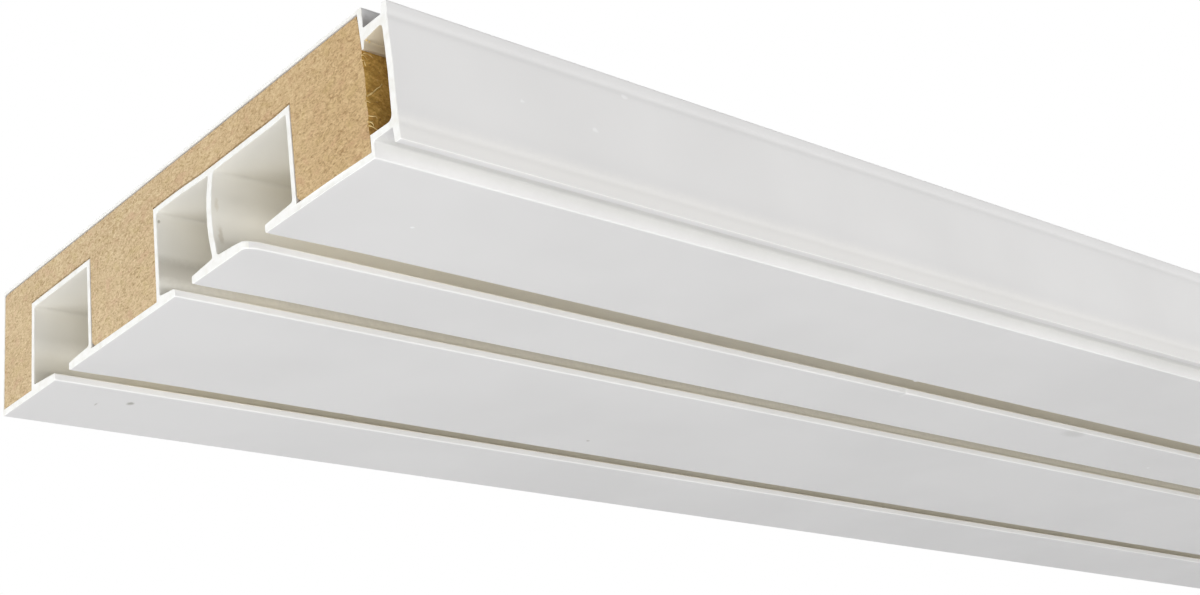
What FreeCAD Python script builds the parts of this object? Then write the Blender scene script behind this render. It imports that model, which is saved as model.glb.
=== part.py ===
import FreeCAD, Part
import os
import Sketcher

# Three-run curtain track for a ceiling, sold by length.
# A hollow sleeve, extruded in one piece, encloses a board that stiffens it.
# Frame: X along the run, +Y towards the wall, -Y towards the room, +Z up to the ceiling.
# Origin: middle of the ceiling face. Millimetres.

# Each driving size stands here once: name, value, what it measures.
SIZES = [
    ("run_length", 400.0, "length of the piece of track"),
    ("core_thickness", 18.0, "board thickness"),
    ("core_width", 91.2, "board width across the runs"),
    ("core_clearance", 0.15, "air over the board and over the channel roofs"),
    ("groove_play", 0.15, "air between a channel and the room side of its groove"),
    ("groove_chamfer", 0.7, "broken edge at the mouth of a groove, room side"),
    ("core_chamfer", 0.4, "broken upper edges of the board"),
    ("plate", 1.0, "thickness of the visible underside"),
    ("top_skin", 0.5, "thickness of the skin on the ceiling side"),
    ("back_skin", 0.4, "thickness of the skin on the wall side"),
    ("channel_wall", 0.85, "side walls and roof of the channels"),
    ("roof_height", 13.6, "underside of a channel roof above the underside"),
    ("rear_rib", 8.7, "board left between the wall side and the rear channel"),
    ("front_rib", 14.5, "board left between the front channel and the room side"),
    ("rear_channel", 16.35, "inner width of the rear channel"),
    ("middle_channel", 12.95, "inner width of the middle channel"),
    ("front_channel", 16.6, "inner width of the front channel"),
    ("divider", 1.2, "wall that the middle and front channels share"),
    ("divider_bow", 0.45, "how far that wall bows towards the wall side"),
    ("slot_width", 4.5, "slot that the glider necks run in"),
    ("rear_lip", 6.45, "lip behind the slot of the rear channel"),
    ("middle_lip", 3.75, "lip behind the slot of the middle channel"),
    ("front_lip", 6.45, "lip behind the slot of the front channel"),
    ("lip_tip", 1.15, "lip thickness at the slot"),
    ("lip_root", 1.6, "lip thickness at the channel wall"),
    ("lip_round", 0.35, "rounded edges of the lips"),
    ("channel_round", 0.4, "rounded inner corners of the channels"),
    ("clip_wall", 0.6, "walls along the room side of the board"),
    ("clip_groove", 3.5, "width of the two grooves that hold a cover strip"),
    ("upper_groove", 2.85, "depth of the upper groove below the ceiling face"),
    ("upper_web", 1.2, "web under the upper groove"),
    ("lower_groove", 2.2, "depth of the lower groove above the underside"),
    ("lower_web", 0.95, "web over the lower groove"),
    ("hook_drop", 1.5, "free hook below the upper web"),
    ("hook_tip", 0.4, "thickness of the hook at its end"),
    ("web_round", 0.7, "inner corners between the webs and the front panel"),
    ("panel", 1.1, "thickness of the front panel"),
    ("panel_drop", 1.45, "upper edge of the front panel below the ceiling face"),
    ("panel_rise", 0.2, "lower edge of the front panel above the underside"),
    ("crease", 2.5, "height over the lower web at which the front panel starts to lean out"),
    ("lower_lean", 0.2, "how far the lower edge of the front panel leans out"),
    ("edge_round", 0.22, "rounded outer edges"),
]


def make_sheet(doc):
    """Put every driving size into the sheet, under its own alias."""
    sheet = doc.addObject("Spreadsheet::Sheet", "Sizes")
    for row, (alias, value, meaning) in enumerate(SIZES, start=1):
        sheet.set(f"A{row}", alias)
        sheet.set(f"B{row}", str(value))
        sheet.set(f"C{row}", meaning)
        sheet.setAlias(f"B{row}", alias)
    doc.recompute()
    return sheet


def total(*terms):
    """Sum of sizes and earlier sums, as an expression."""
    return "(" + " + ".join(f"Sizes.{t}" if t.isidentifier() else t for t in terms) + ")"


def back(station, size):
    """A station less one size, as an expression."""
    return f"({station} - Sizes.{size})"


# Depths run from the wall side towards the room, heights up from the visible underside.
# The rear channel is placed from the wall side and the front pair from the room side.
# The board between them is as wide as the board's full width leaves it.
ZERO = "(0 * Sizes.plate)"
BACK_INNER = total("back_skin")
REAR_BOX = total(BACK_INNER, "rear_rib")
REAR_START = total(REAR_BOX, "channel_wall")
REAR_END = total(REAR_START, "rear_channel")
REAR_BOX_END = total(REAR_END, "channel_wall")
CORE_FRONT = total(BACK_INNER, "core_width")
PAIR_BOX_END = back(CORE_FRONT, "front_rib")
FRONT_END = back(PAIR_BOX_END, "channel_wall")
FRONT_START = back(FRONT_END, "front_channel")
MIDDLE_END = back(FRONT_START, "divider")
MIDDLE_START = back(MIDDLE_END, "middle_channel")
PAIR_BOX = back(MIDDLE_START, "channel_wall")
CEILING_FRONT = total(CORE_FRONT, "clip_wall")
PANEL_INNER = total(CEILING_FRONT, "clip_groove")
PANEL_OUTER = total(PANEL_INNER, "panel")

PLATE_TOP = total("plate")
ROOF_UNDER = total("roof_height")
ROOF_TOP = total(ROOF_UNDER, "channel_wall")
GROOVE_TOP = total(ROOF_TOP, "core_clearance")
CORE_TOP = total(PLATE_TOP, "core_thickness")
SKIN_UNDER = total(CORE_TOP, "core_clearance")
CEILING = total(SKIN_UNDER, "top_skin")
LOWER_WEB_UNDER = total("lower_groove")
LOWER_WEB_TOP = total(LOWER_WEB_UNDER, "lower_web")
UPPER_WEB_TOP = back(CEILING, "upper_groove")
UPPER_WEB_UNDER = back(UPPER_WEB_TOP, "upper_web")
HOOK_END = back(UPPER_WEB_UNDER, "hook_drop")
PANEL_TOP = back(CEILING, "panel_drop")
PANEL_LOW = total("panel_rise")
LOWER_CREASE = total(LOWER_WEB_TOP, "crease")

# The three channels: start and end depth, and the lip behind the slot.
CHANNELS = [
    (REAR_START, REAR_END, "rear_lip"),
    (MIDDLE_START, MIDDLE_END, "middle_lip"),
    (FRONT_START, FRONT_END, "front_lip"),
]


def across(depth):
    """Y of a depth: the ceiling face lies evenly about Y = 0."""
    return f"{CEILING_FRONT} / 2 - {depth}"


def up(height):
    """Z of a height: the ceiling face is at Z = 0."""
    return f"{height} - {CEILING}"


def place(sheet, corner):
    """Y and Z of a corner in numbers."""
    depth, height = corner
    return float(sheet.evalExpression(across(depth))), float(sheet.evalExpression(up(height)))


def slot_edges(channel):
    """Depths of the two lip ends at the slot of a channel."""
    start, _, lip = channel
    rear = total(start, lip)
    return rear, total(rear, "slot_width")


def section_sketch(body, name):
    """Sketch on the body's own plane across the run."""
    sketch = body.newObject("Sketcher::SketchObject", name)
    plane = next(item for item in body.Origin.OriginFeatures if item.Role == "YZ_Plane")
    sketch.AttachmentSupport = [(plane, "")]
    sketch.MapMode = "FlatFace"
    return sketch


def draw_loop(sketch, sheet, corners, bowed=()):
    """Closed outline through the corners, each held at its depth and height.

    A side whose first corner is in `bowed` is an arc that bows towards the wall side.
    """
    first = sketch.GeometryCount
    count = len(corners)
    ends = [FreeCAD.Vector(*place(sheet, corner), 0) for corner in corners]
    bow = sheet.get("divider_bow")
    for index, start in enumerate(ends):
        end = ends[(index + 1) % count]
        if corners[index] in bowed:
            middle = (start + end) / 2 + FreeCAD.Vector(bow, 0, 0)
            sketch.addGeometry(Part.Arc(start, middle, end), False)
        else:
            sketch.addGeometry(Part.LineSegment(start, end), False)
    starts, stops = arc_ends(sketch, first, ends)
    for index, corner in enumerate(corners):
        following = (index + 1) % count
        sketch.addConstraint(Sketcher.Constraint(
            "Coincident", first + index, stops[index], first + following, starts[following]))
        hold(sketch, "DistanceX", (first + index, starts[index]), ends[index].x, across(corner[0]))
        hold(sketch, "DistanceY", (first + index, starts[index]), ends[index].y, up(corner[1]))
        if corner in bowed:
            rise = f"({ROOF_UNDER} - Sizes.lip_root)"
            radius = f"({rise} ^ 2 / 4 + Sizes.divider_bow ^ 2) / (2 * Sizes.divider_bow)"
            number = sketch.addConstraint(Sketcher.Constraint(
                "Radius", first + index, float(sheet.evalExpression(radius))))
            sketch.setExpression(f"Constraints[{number}]", radius)


def arc_ends(sketch, first, ends):
    """Which end of each side is its start, because arcs are kept anticlockwise."""
    starts, stops = [], []
    for index, start in enumerate(ends):
        same_way = sketch.getPoint(first + index, 1).distanceToPoint(start) < 1e-6
        starts.append(1 if same_way else 2)
        stops.append(2 if same_way else 1)
    return starts, stops


def hold(sketch, kind, vertex, value, expression):
    """Distance from the sketch origin to a vertex, bound to the sheet."""
    number = sketch.addConstraint(Sketcher.Constraint(kind, -1, 1, *vertex, value))
    sketch.setExpression(f"Constraints[{number}]", expression)


def extrude(body, kind, name, sketch):
    """Pad or pocket over the whole run, evenly about the sketch plane."""
    feature = body.newObject(kind, name)
    feature.Profile = sketch
    feature.SideType = "Symmetric"
    feature.setExpression("Length", "Sizes.run_length")
    body.Document.recompute()
    return feature


def edges_along_run(shape, spots):
    """Names of the edges along X that pass through the given Y and Z."""
    found = []
    for y, z in spots:
        for number, edge in enumerate(shape.Edges, start=1):
            ends = [vertex.Point for vertex in edge.Vertexes]
            if all(abs(end.y - y) < 1e-4 and abs(end.z - z) < 1e-4 for end in ends):
                found.append(f"Edge{number}")
    return found


def dress_edges(body, kind, name, corners, size):
    """Fillet or chamfer on the long edges at the given corners."""
    sheet = body.Document.getObject("Sizes")
    base = body.Tip
    spots = [place(sheet, corner) for corner in corners]
    names = edges_along_run(base.Shape, spots)
    if len(names) != len(corners):
        raise RuntimeError(f"{name}: {len(names)} edges for {len(corners)} corners")
    feature = body.newObject(kind, name)
    feature.Base = (base, names)
    feature.setExpression("Radius" if kind.endswith("Fillet") else "Size", f"Sizes.{size}")
    body.Document.recompute()
    return feature


def channel_corners(channel):
    """Inside of a channel, from its rear lip over the roof to its front lip."""
    start, end, _ = channel
    rear_tip, front_tip = slot_edges(channel)
    lip_tip = total("lip_tip")
    lip_root = total("lip_root")
    return [
        (rear_tip, ZERO), (rear_tip, lip_tip), (start, lip_root), (start, ROOF_UNDER),
        (end, ROOF_UNDER), (end, lip_root), (front_tip, lip_tip), (front_tip, ZERO),
    ]


def front_panel_corners():
    """Room side: plate edge, lower groove, front panel and upper groove."""
    lower_inner = total(PANEL_INNER, "lower_lean")
    lower_outer = total(PANEL_OUTER, "lower_lean")
    return {
        "plate_edge": (CEILING_FRONT, ZERO),
        "lower_groove_rear": (CEILING_FRONT, LOWER_WEB_UNDER),
        "lower_groove_front": (PANEL_INNER, LOWER_WEB_UNDER),
        "lower_edge_inner": (lower_inner, PANEL_LOW),
        "lower_edge_outer": (lower_outer, PANEL_LOW),
        "lower_crease": (PANEL_OUTER, LOWER_CREASE),
        "upper_edge_outer": (PANEL_OUTER, PANEL_TOP),
        "upper_edge_inner": (PANEL_INNER, PANEL_TOP),
        "upper_groove_front": (PANEL_INNER, UPPER_WEB_TOP),
        "upper_groove_rear": (CEILING_FRONT, UPPER_WEB_TOP),
        "ceiling_edge": (CEILING_FRONT, CEILING),
    }


def make_sleeve(doc, sheet):
    """The extrusion: thin skins, three slotted channels and the room side with its grooves."""
    body = doc.addObject("PartDesign::Body", "Sleeve")
    body.Label = "pvc_sleeve"
    room_side = front_panel_corners()

    outside = [(ZERO, ZERO)]
    for channel in CHANNELS:
        outside += channel_corners(channel)
    outside += list(room_side.values())
    outside.append((ZERO, CEILING))

    hook_inner = total(CORE_FRONT, "hook_tip")
    board_space = [
        (BACK_INNER, PLATE_TOP),
        (REAR_BOX, PLATE_TOP), (REAR_BOX, ROOF_TOP),
        (REAR_BOX_END, ROOF_TOP), (REAR_BOX_END, PLATE_TOP),
        (PAIR_BOX, PLATE_TOP), (PAIR_BOX, ROOF_TOP),
        (PAIR_BOX_END, ROOF_TOP), (PAIR_BOX_END, PLATE_TOP),
        (CORE_FRONT, PLATE_TOP), (CORE_FRONT, LOWER_WEB_TOP),
        (PANEL_INNER, LOWER_WEB_TOP), (PANEL_INNER, UPPER_WEB_UNDER),
        (CEILING_FRONT, UPPER_WEB_UNDER), (hook_inner, HOOK_END),
        (CORE_FRONT, HOOK_END), (CORE_FRONT, SKIN_UNDER), (BACK_INNER, SKIN_UNDER),
    ]

    section = section_sketch(body, "SleeveSection")
    lip_root = total("lip_root")
    bowed = [(MIDDLE_END, ROOF_UNDER), (FRONT_START, lip_root)]
    draw_loop(section, sheet, outside, bowed)
    draw_loop(section, sheet, board_space)
    extrude(body, "PartDesign::Pad", "SleeveRun", section)

    lip_edges = []
    channel_edges = []
    for channel in CHANNELS:
        corners = channel_corners(channel)
        lip_edges += corners[:2] + corners[-2:]
        channel_edges += corners[2:6]
    dress_edges(body, "PartDesign::Fillet", "LipRounding", lip_edges, "lip_round")
    dress_edges(body, "PartDesign::Fillet", "ChannelRounding", channel_edges, "channel_round")
    web_corners = [(PANEL_INNER, LOWER_WEB_TOP), (PANEL_INNER, UPPER_WEB_UNDER)]
    dress_edges(body, "PartDesign::Fillet", "WebRounding", web_corners, "web_round")
    outer_edges = [(ZERO, ZERO), (ZERO, CEILING)]
    outer_edges += [room_side[key] for key in (
        "plate_edge", "lower_edge_inner", "lower_edge_outer",
        "upper_edge_inner", "upper_edge_outer", "ceiling_edge",
        "lower_groove_rear", "lower_groove_front", "upper_groove_rear", "upper_groove_front")]
    dress_edges(body, "PartDesign::Fillet", "EdgeRounding", outer_edges, "edge_round")
    return body


def rectangle(start, end, bottom, top):
    """Corners of an upright rectangle across the run."""
    return [(start, bottom), (end, bottom), (end, top), (start, top)]


def make_core(doc, sheet):
    """The board, with one groove for the rear channel and one for the front pair."""
    body = doc.addObject("PartDesign::Body", "Core")
    body.Label = "mdf_core"

    blank = section_sketch(body, "BoardSection")
    draw_loop(blank, sheet, rectangle(BACK_INNER, CORE_FRONT, PLATE_TOP, CORE_TOP))
    extrude(body, "PartDesign::Pad", "Board", blank)

    grooves = section_sketch(body, "GrooveSection")
    groove_ends = []
    for start, end in ((REAR_BOX, REAR_BOX_END), (PAIR_BOX, PAIR_BOX_END)):
        groove_end = total(end, "groove_play")
        groove_ends.append(groove_end)
        draw_loop(grooves, sheet, rectangle(start, groove_end, PLATE_TOP, GROOVE_TOP))
    extrude(body, "PartDesign::Pocket", "Grooves", grooves)

    mouths = [(groove_end, PLATE_TOP) for groove_end in groove_ends]
    dress_edges(body, "PartDesign::Chamfer", "GrooveMouths", mouths, "groove_chamfer")
    upper = [(BACK_INNER, CORE_TOP), (CORE_FRONT, CORE_TOP)]
    dress_edges(body, "PartDesign::Chamfer", "UpperEdges", upper, "core_chamfer")
    return body


def check(doc, bodies):
    """Stop if anything failed or a sub-part isn't one valid solid."""
    for item in doc.Objects:
        if "Invalid" in item.State or "Error" in item.State:
            raise RuntimeError(f"{item.Label} failed: {item.State}")
    for body in bodies:
        shape = body.Shape
        if shape.isNull() or not shape.isValid() or len(shape.Solids) != 1:
            raise RuntimeError(f"{body.Label} isn't one valid solid")


def main():
    """Build the document and write one file for each sub-part."""
    doc = FreeCAD.newDocument("curtain_track")
    sheet = make_sheet(doc)
    bodies = [make_sleeve(doc, sheet), make_core(doc, sheet)]
    doc.recompute()
    check(doc, bodies)
    os.makedirs("parts", exist_ok=True)
    for body in bodies:
        body.Shape.exportStep(f"parts/{body.Label}.step")
        box = body.Shape.BoundBox
        print(body.Label, round(body.Shape.Volume), "mm3",
              [round(side, 3) for side in (box.XLength, box.YLength, box.ZLength)])


main()
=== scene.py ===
"""Three-run ceiling curtain track: the dressed model, its lamps and its camera.

Lengths are in millimetres, as in the CAD model: a depth runs from the wall side towards the
room, a height runs up from the visible underside, and a distance along the run starts at the
left cut. Only the stage and the camera are in metres.
"""
import logging
import math
import random
from dataclasses import dataclass
from enum import Enum

import bmesh
import bpy
from mathutils import Matrix, Vector, geometry, noise


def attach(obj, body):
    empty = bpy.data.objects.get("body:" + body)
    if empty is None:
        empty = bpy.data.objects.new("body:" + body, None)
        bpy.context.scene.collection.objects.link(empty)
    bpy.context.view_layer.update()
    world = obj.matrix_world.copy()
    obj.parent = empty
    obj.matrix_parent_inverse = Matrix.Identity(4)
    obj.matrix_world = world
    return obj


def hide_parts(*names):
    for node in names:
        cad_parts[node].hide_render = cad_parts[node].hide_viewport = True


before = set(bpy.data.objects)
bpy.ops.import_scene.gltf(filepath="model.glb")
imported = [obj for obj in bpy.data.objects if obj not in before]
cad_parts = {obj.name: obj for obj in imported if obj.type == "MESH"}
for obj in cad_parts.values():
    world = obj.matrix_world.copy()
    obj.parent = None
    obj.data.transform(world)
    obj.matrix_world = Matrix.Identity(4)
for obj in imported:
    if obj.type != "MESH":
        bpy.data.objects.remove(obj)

logging.basicConfig(level=logging.INFO, format="%(name)s: %(message)s")
LOG = logging.getLogger("curtain_track")

MM = 0.001
SEED = 41
# Largest turn between two points of a rounded corner.
ARC_STEP = math.radians(18)
# Short names for Blender's types of node trees.
Tree = bpy.types.NodeTree
Node = bpy.types.Node
Socket = bpy.types.NodeSocket


class Part(Enum):
    """The CAD nodes that the dressed pieces stand for."""

    SLEEVE = "pvc_sleeve"
    BOARD = "mdf_core"


class Slot(Enum):
    """The record's material slots."""

    SLEEVE = "sleeve"
    CORE = "core"


class Lies(Enum):
    """On which side of a closed outline the material lies."""

    INSIDE = 1
    OUTSIDE = -1


class Surface(Enum):
    """Surfaces of the extrusion, numbered as its materials."""

    SKIN = 0
    CUT = 1
    CHANNEL = 2
    HOLLOW = 3


# ---- Sizes ----


@dataclass(frozen=True)
class TrackSizes:
    """Sizes of the section in millimetres, the same as in the CAD model."""

    run_length: float = 400.0
    core_thickness: float = 18.0
    core_width: float = 91.2
    core_clearance: float = 0.15
    groove_play: float = 0.15
    groove_chamfer: float = 0.7
    core_chamfer: float = 0.4
    plate: float = 1.0
    top_skin: float = 0.5
    back_skin: float = 0.4
    channel_wall: float = 0.85
    roof_height: float = 13.6
    rear_rib: float = 8.7
    front_rib: float = 14.5
    rear_channel: float = 16.35
    middle_channel: float = 12.95
    front_channel: float = 16.6
    divider: float = 1.2
    divider_bow: float = 0.45
    slot_width: float = 4.5
    rear_lip: float = 6.45
    middle_lip: float = 3.75
    front_lip: float = 6.45
    lip_tip: float = 1.15
    lip_root: float = 1.6
    channel_round: float = 0.4
    clip_wall: float = 0.6
    clip_groove: float = 3.5
    upper_groove: float = 2.85
    upper_web: float = 1.2
    lower_groove: float = 2.2
    lower_web: float = 0.95
    hook_drop: float = 1.5
    hook_tip: float = 0.4
    web_round: float = 0.7
    panel: float = 1.1
    panel_drop: float = 1.45
    panel_rise: float = 0.2
    crease: float = 2.5
    lower_lean: float = 0.2
    edge_round: float = 0.22

    @property
    def rear_box(self) -> float:
        """Depth where the box round the rear channel starts."""
        return self.back_skin + self.rear_rib

    @property
    def rear_box_end(self) -> float:
        """Depth where the box round the rear channel ends."""
        return self.rear_box + 2 * self.channel_wall + self.rear_channel

    @property
    def core_front(self) -> float:
        """Depth of the board's room side."""
        return self.back_skin + self.core_width

    @property
    def pair_box_end(self) -> float:
        """Depth where the box round the middle and front channels ends."""
        return self.core_front - self.front_rib

    @property
    def front_start(self) -> float:
        """Depth where the front channel starts."""
        return self.pair_box_end - self.channel_wall - self.front_channel

    @property
    def middle_end(self) -> float:
        """Depth where the middle channel ends."""
        return self.front_start - self.divider

    @property
    def middle_start(self) -> float:
        """Depth where the middle channel starts."""
        return self.middle_end - self.middle_channel

    @property
    def pair_box(self) -> float:
        """Depth where the box round the middle and front channels starts."""
        return self.middle_start - self.channel_wall

    @property
    def ceiling_front(self) -> float:
        """Depth of the front edge of the ceiling face."""
        return self.core_front + self.clip_wall

    @property
    def panel_inner(self) -> float:
        """Depth of the front panel's inner face."""
        return self.ceiling_front + self.clip_groove

    @property
    def panel_outer(self) -> float:
        """Depth of the front panel's outer face."""
        return self.panel_inner + self.panel

    @property
    def lower_web_top(self) -> float:
        """Height of the upper face of the lower web."""
        return self.lower_groove + self.lower_web

    @property
    def upper_web_under(self) -> float:
        """Height of the underside of the upper web."""
        return self.ceiling - self.upper_groove - self.upper_web

    @property
    def hook_end(self) -> float:
        """Height of the lower end of the hook over the board's corner."""
        return self.upper_web_under - self.hook_drop

    @property
    def roof_top(self) -> float:
        """Height of the upper faces of the channel roofs."""
        return self.roof_height + self.channel_wall

    @property
    def core_top(self) -> float:
        """Height of the board's upper face."""
        return self.plate + self.core_thickness

    @property
    def under_skin(self) -> float:
        """Height of the lower face of the skin on the ceiling side."""
        return self.core_top + self.core_clearance

    @property
    def ceiling(self) -> float:
        """Height of the ceiling face."""
        return self.under_skin + self.top_skin

    @property
    def channels(self) -> tuple[tuple[float, float, float], ...]:
        """The three channels, from the wall side to the room side.

        Returns:
            Start, end and width of the rear lip of each.
        """
        rear = self.rear_box + self.channel_wall
        front = self.front_start
        return (
            (rear, rear + self.rear_channel, self.rear_lip),
            (self.middle_start, self.middle_end, self.middle_lip),
            (front, front + self.front_channel, self.front_lip),
        )

    def row(self, along: float, depth: float, height: float) -> Vector:
        """Place of a point in the row frame, in metres."""
        x, y = along - self.run_length / 2, self.ceiling_front / 2 - depth
        return Vector((x, y, height - self.ceiling)) * MM


@dataclass(frozen=True)
class Corner:
    """Corner of a closed outline: its depth, its height and the radius that rounds it.

    The step is the distance between points on the side after it, where that side needs them close.
    """

    depth: float
    height: float
    radius: float = 0.0
    step: float | None = None


@dataclass(frozen=True)
class Dip:
    """A shallow trough across an upright face, such as the sink mark of a web behind it."""

    height: float
    depth: float
    half_width: float

    def at(self, height: float) -> float:
        """Depth of the trough at a height."""
        return self.depth * fade(height - self.height, self.half_width)


@dataclass(frozen=True)
class Nick:
    """A small burr or dent on an edge along the run."""

    along: float
    depth: float
    height: float
    push: tuple[float, float]
    half_width: float
    reach: float


# ---- Colour, shader and scene helpers ----


def linear(colour: str) -> tuple[float, ...]:
    """Linear colour of an sRGB hex value.

    Args:
        colour: Six hex digits after a hash.

    Returns:
        Red, green, blue and an alpha of 1 for a shader socket.
    """
    parts = [int(colour[i:i + 2], 16) / 255 for i in (1, 3, 5)]
    return (*(c / 12.92 if c <= 0.04045 else ((c + 0.055) / 1.055) ** 2.4 for c in parts), 1.0)


def per_mm(size: float) -> float:
    """Noise scale for coordinates in metres whose features are that many millimetres wide."""
    return 1.0 / (size * MM)


def add(
    tree: Tree,
    kind: str,
    inputs: dict[str | int, object] | None = None,
    stops: tuple[tuple[float, str], ...] = (),
    **settings: object,
) -> Node:
    """One shader node with its settings, values and links.

    Args:
        tree: Node tree that gets the node.
        kind: Blender's name for the node's type, after the word ShaderNode.
        inputs: Value, hex colour, socket or node for each input, by name or number. A node
            stands for its first output.
        stops: Position and hex colour of each stop, for a colour ramp.
        **settings: Attributes of the node.

    Returns:
        The new node.
    """
    made = tree.nodes.new(f"ShaderNode{kind}")
    for key, value in settings.items():
        setattr(made, key, value)
    for key, value in (inputs or {}).items():
        if isinstance(value, Node):
            value = next(output for output in value.outputs if not output.is_unavailable)
        if isinstance(value, Socket):
            tree.links.new(value, made.inputs[key])
        else:
            made.inputs[key].default_value = linear(value) if isinstance(value, str) else value
    if stops:
        elements = made.color_ramp.elements
        while len(elements) < len(stops):
            elements.new(0.5)
        for element, (position, colour) in zip(elements, stops):
            element.position = position
            element.color = linear(colour)
    return made


def shown(name: str, data: bpy.types.ID) -> bpy.types.Object:
    """A new object in the scene.

    Args:
        name: Its name.
        data: Mesh, curve, lamp or camera that it shows.

    Returns:
        The object.
    """
    made = bpy.data.objects.new(name, data)
    bpy.context.scene.collection.objects.link(made)
    return made


# ---- Finishes ----


@dataclass(frozen=True)
class Mark:
    """A small stain, scuff or grain of dust, or a band of painted shade or highlight, on a
    surface, in row-frame millimetres.
    """

    place: tuple[float, float, float]
    reach: tuple[float, float, float]
    colour: str
    strength: float


@dataclass(frozen=True)
class Finish:
    """What every finish has: a name, its gloss and the making of its material."""

    name: str
    roughness: float
    ior: float = 1.5

    def surface(self, tree: Tree, place: Socket) -> dict[str, object]:
        """The finish's own nodes.

        Args:
            tree: Tree that gets them.
            place: Object coordinates, in metres.

        Returns:
            Value, socket or node for each input of the shader that they feed.
        """
        raise NotImplementedError

    def material(self) -> bpy.types.Material:
        """The finished material, new each time.

        Returns:
            The material, with one shader.
        """
        material = bpy.data.materials.new(self.name)
        material.use_nodes = True
        tree = material.node_tree
        tree.nodes.clear()
        own = self.surface(tree, add(tree, "TexCoord").outputs["Object"])
        gloss = {"Roughness": self.roughness, "IOR": self.ior}
        shader = add(tree, "BsdfPrincipled", {**gloss, **own})
        add(tree, "OutputMaterial", {"Surface": shader})
        return material


@dataclass(frozen=True)
class Pvc(Finish):
    """White rigid PVC, on which small marks and bands of painted shade or highlight may lie."""

    ior: float = 1.53
    marks: tuple[Mark, ...] = ()
    rag_mm: float = 0.7
    stray_mm: float = 0.6

    def marked(self, tree: Tree, place: Socket, colour: Node) -> Node:
        """Lays the marks over a colour, each a soft patch with a ragged edge.

        Args:
            tree: The material's tree.
            place: Object coordinates, in metres.
            colour: Colour under the marks.

        Returns:
            Colour with the marks on it.
        """
        rag = add(tree, "TexNoise", {"Vector": place, "Scale": per_mm(self.rag_mm), "Detail": 2.0})
        stray = add(tree, "VectorMath", {
            0: rag.outputs["Color"], 1: (self.stray_mm * MM,) * 3, 2: place,
        }, operation="MULTIPLY_ADD")
        for mark in self.marks:
            spot = tuple((c + self.stray_mm / 2) * -MM for c in mark.place)
            off = add(tree, "VectorMath", {0: stray, 1: spot}, operation="ADD")
            share = tuple(1 / (r * MM) for r in mark.reach)
            scaled = add(tree, "VectorMath", {0: off, 1: share}, operation="MULTIPLY")
            amount = add(tree, "MapRange", {
                "Value": add(tree, "VectorMath", {0: scaled}, operation="LENGTH"),
                "From Min": 0.35, "From Max": 1.15, "To Min": mark.strength, "To Max": 0.0,
            }, interpolation_type="SMOOTHSTEP")
            under = {"Factor": amount, "A": colour, "B": mark.colour}
            colour = add(tree, "Mix", under, data_type="RGBA")
        return colour


@dataclass(frozen=True)
class ExtrudedPvc(Pvc):
    """White rigid PVC, extruded, as it leaves the cooled calibrator.

    The calibrator smooths the skin to a satin, so its reflections are soft across the run and
    slightly drawn out along it. It has a few small stains and grains of dust, painted shade in
    the corners of its clip grooves and a painted highlight along the panel's lower flange. Real
    die lines are finer than these, which are as coarse as they need to show.
    """

    name: str = "white_rigid_pvc_extruded"
    colour: str = "#E9E8E7"
    shade: str = "#E5E4E3"
    roughness: float = 0.30
    die_line_mm: float = 1.5
    drawn_out: float = 0.03
    blotch_mm: float = 26.0
    grain_mm: float = 0.35
    marks: tuple[Mark, ...] = (
        Mark((-185.8, 33.9, -19.65), (0.6, 0.75, 0.6), "#7E7A68", 0.6),
        Mark((-190.2, 36.1, -19.65), (0.2, 0.7, 0.6), "#9A968A", 0.5),
        Mark((-108.2, 19.6, -19.65), (0.4, 0.28, 0.5), "#8A8272", 0.7),
        Mark((-25.8, -18.9, -19.65), (3.4, 1.7, 0.8), "#B4B4AE", 0.3),
        Mark((9.2, -12.1, -19.65), (0.45, 0.3, 0.5), "#FFFFFF", 0.9),
        Mark((-185.1, -33.55, -19.65), (0.35, 0.3, 0.5), "#FFFFFF", 0.9),
        Mark((-163.2, -50.7, -4.15), (0.6, 0.5, 0.3), "#FFFFFF", 0.4),
        Mark((-169.3, -50.7, -10.45), (0.5, 0.5, 0.35), "#FFFFFF", 0.4),
        Mark((-180.8, -50.7, -9.55), (0.45, 0.5, 0.3), "#FFFFFF", 0.4),
        # Painted shade in the corners of the upper and the lower clip groove, all along the run.
        Mark((0.0, -46.1, -2.85), (2000.0, 1.4, 2.0), "#8A847E", 0.75),
        Mark((0.0, -46.1, -16.75), (2000.0, 1.7, 2.4), "#B6B7AE", 0.3),
        # Painted highlight: the panel's lower flange, a little paler than the rest.
        Mark((0.0, -51.1, -17.9), (2000.0, 0.9, 2.6), "#F2F0EC", 0.6),
    )

    def surface(self, tree: Tree, place: Socket) -> dict[str, object]:
        """Satin white with faint die lines and its few marks.

        Args:
            tree: The material's tree.
            place: Object coordinates, in metres.

        Returns:
            What feeds the shader.
        """
        drawn = add(tree, "Mapping", {"Vector": place, "Scale": (self.drawn_out, 1.0, 1.0)})
        lines, blotch, grain = (
            add(tree, "TexNoise", {"Vector": where, "Scale": per_mm(size), "Detail": detail})
            for where, size, detail in (
                (drawn, self.die_line_mm, 0.0), (place, self.blotch_mm, 2.0),
                (place, self.grain_mm, 2.0)))
        colour = add(tree, "ValToRGB", {"Fac": blotch}, ((0.35, self.shade), (0.6, self.colour)))
        rough = add(tree, "MapRange", {
            "Value": lines, "From Min": 0.3, "From Max": 0.7,
            "To Min": self.roughness - 0.01, "To Max": self.roughness + 0.02})
        bump = add(tree, "Bump", {"Height": grain, "Strength": 0.03, "Distance": 0.03 * MM})
        marked = self.marked(tree, place, colour)
        return {"Base Color": marked, "Roughness": rough, "Normal": bump}


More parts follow.
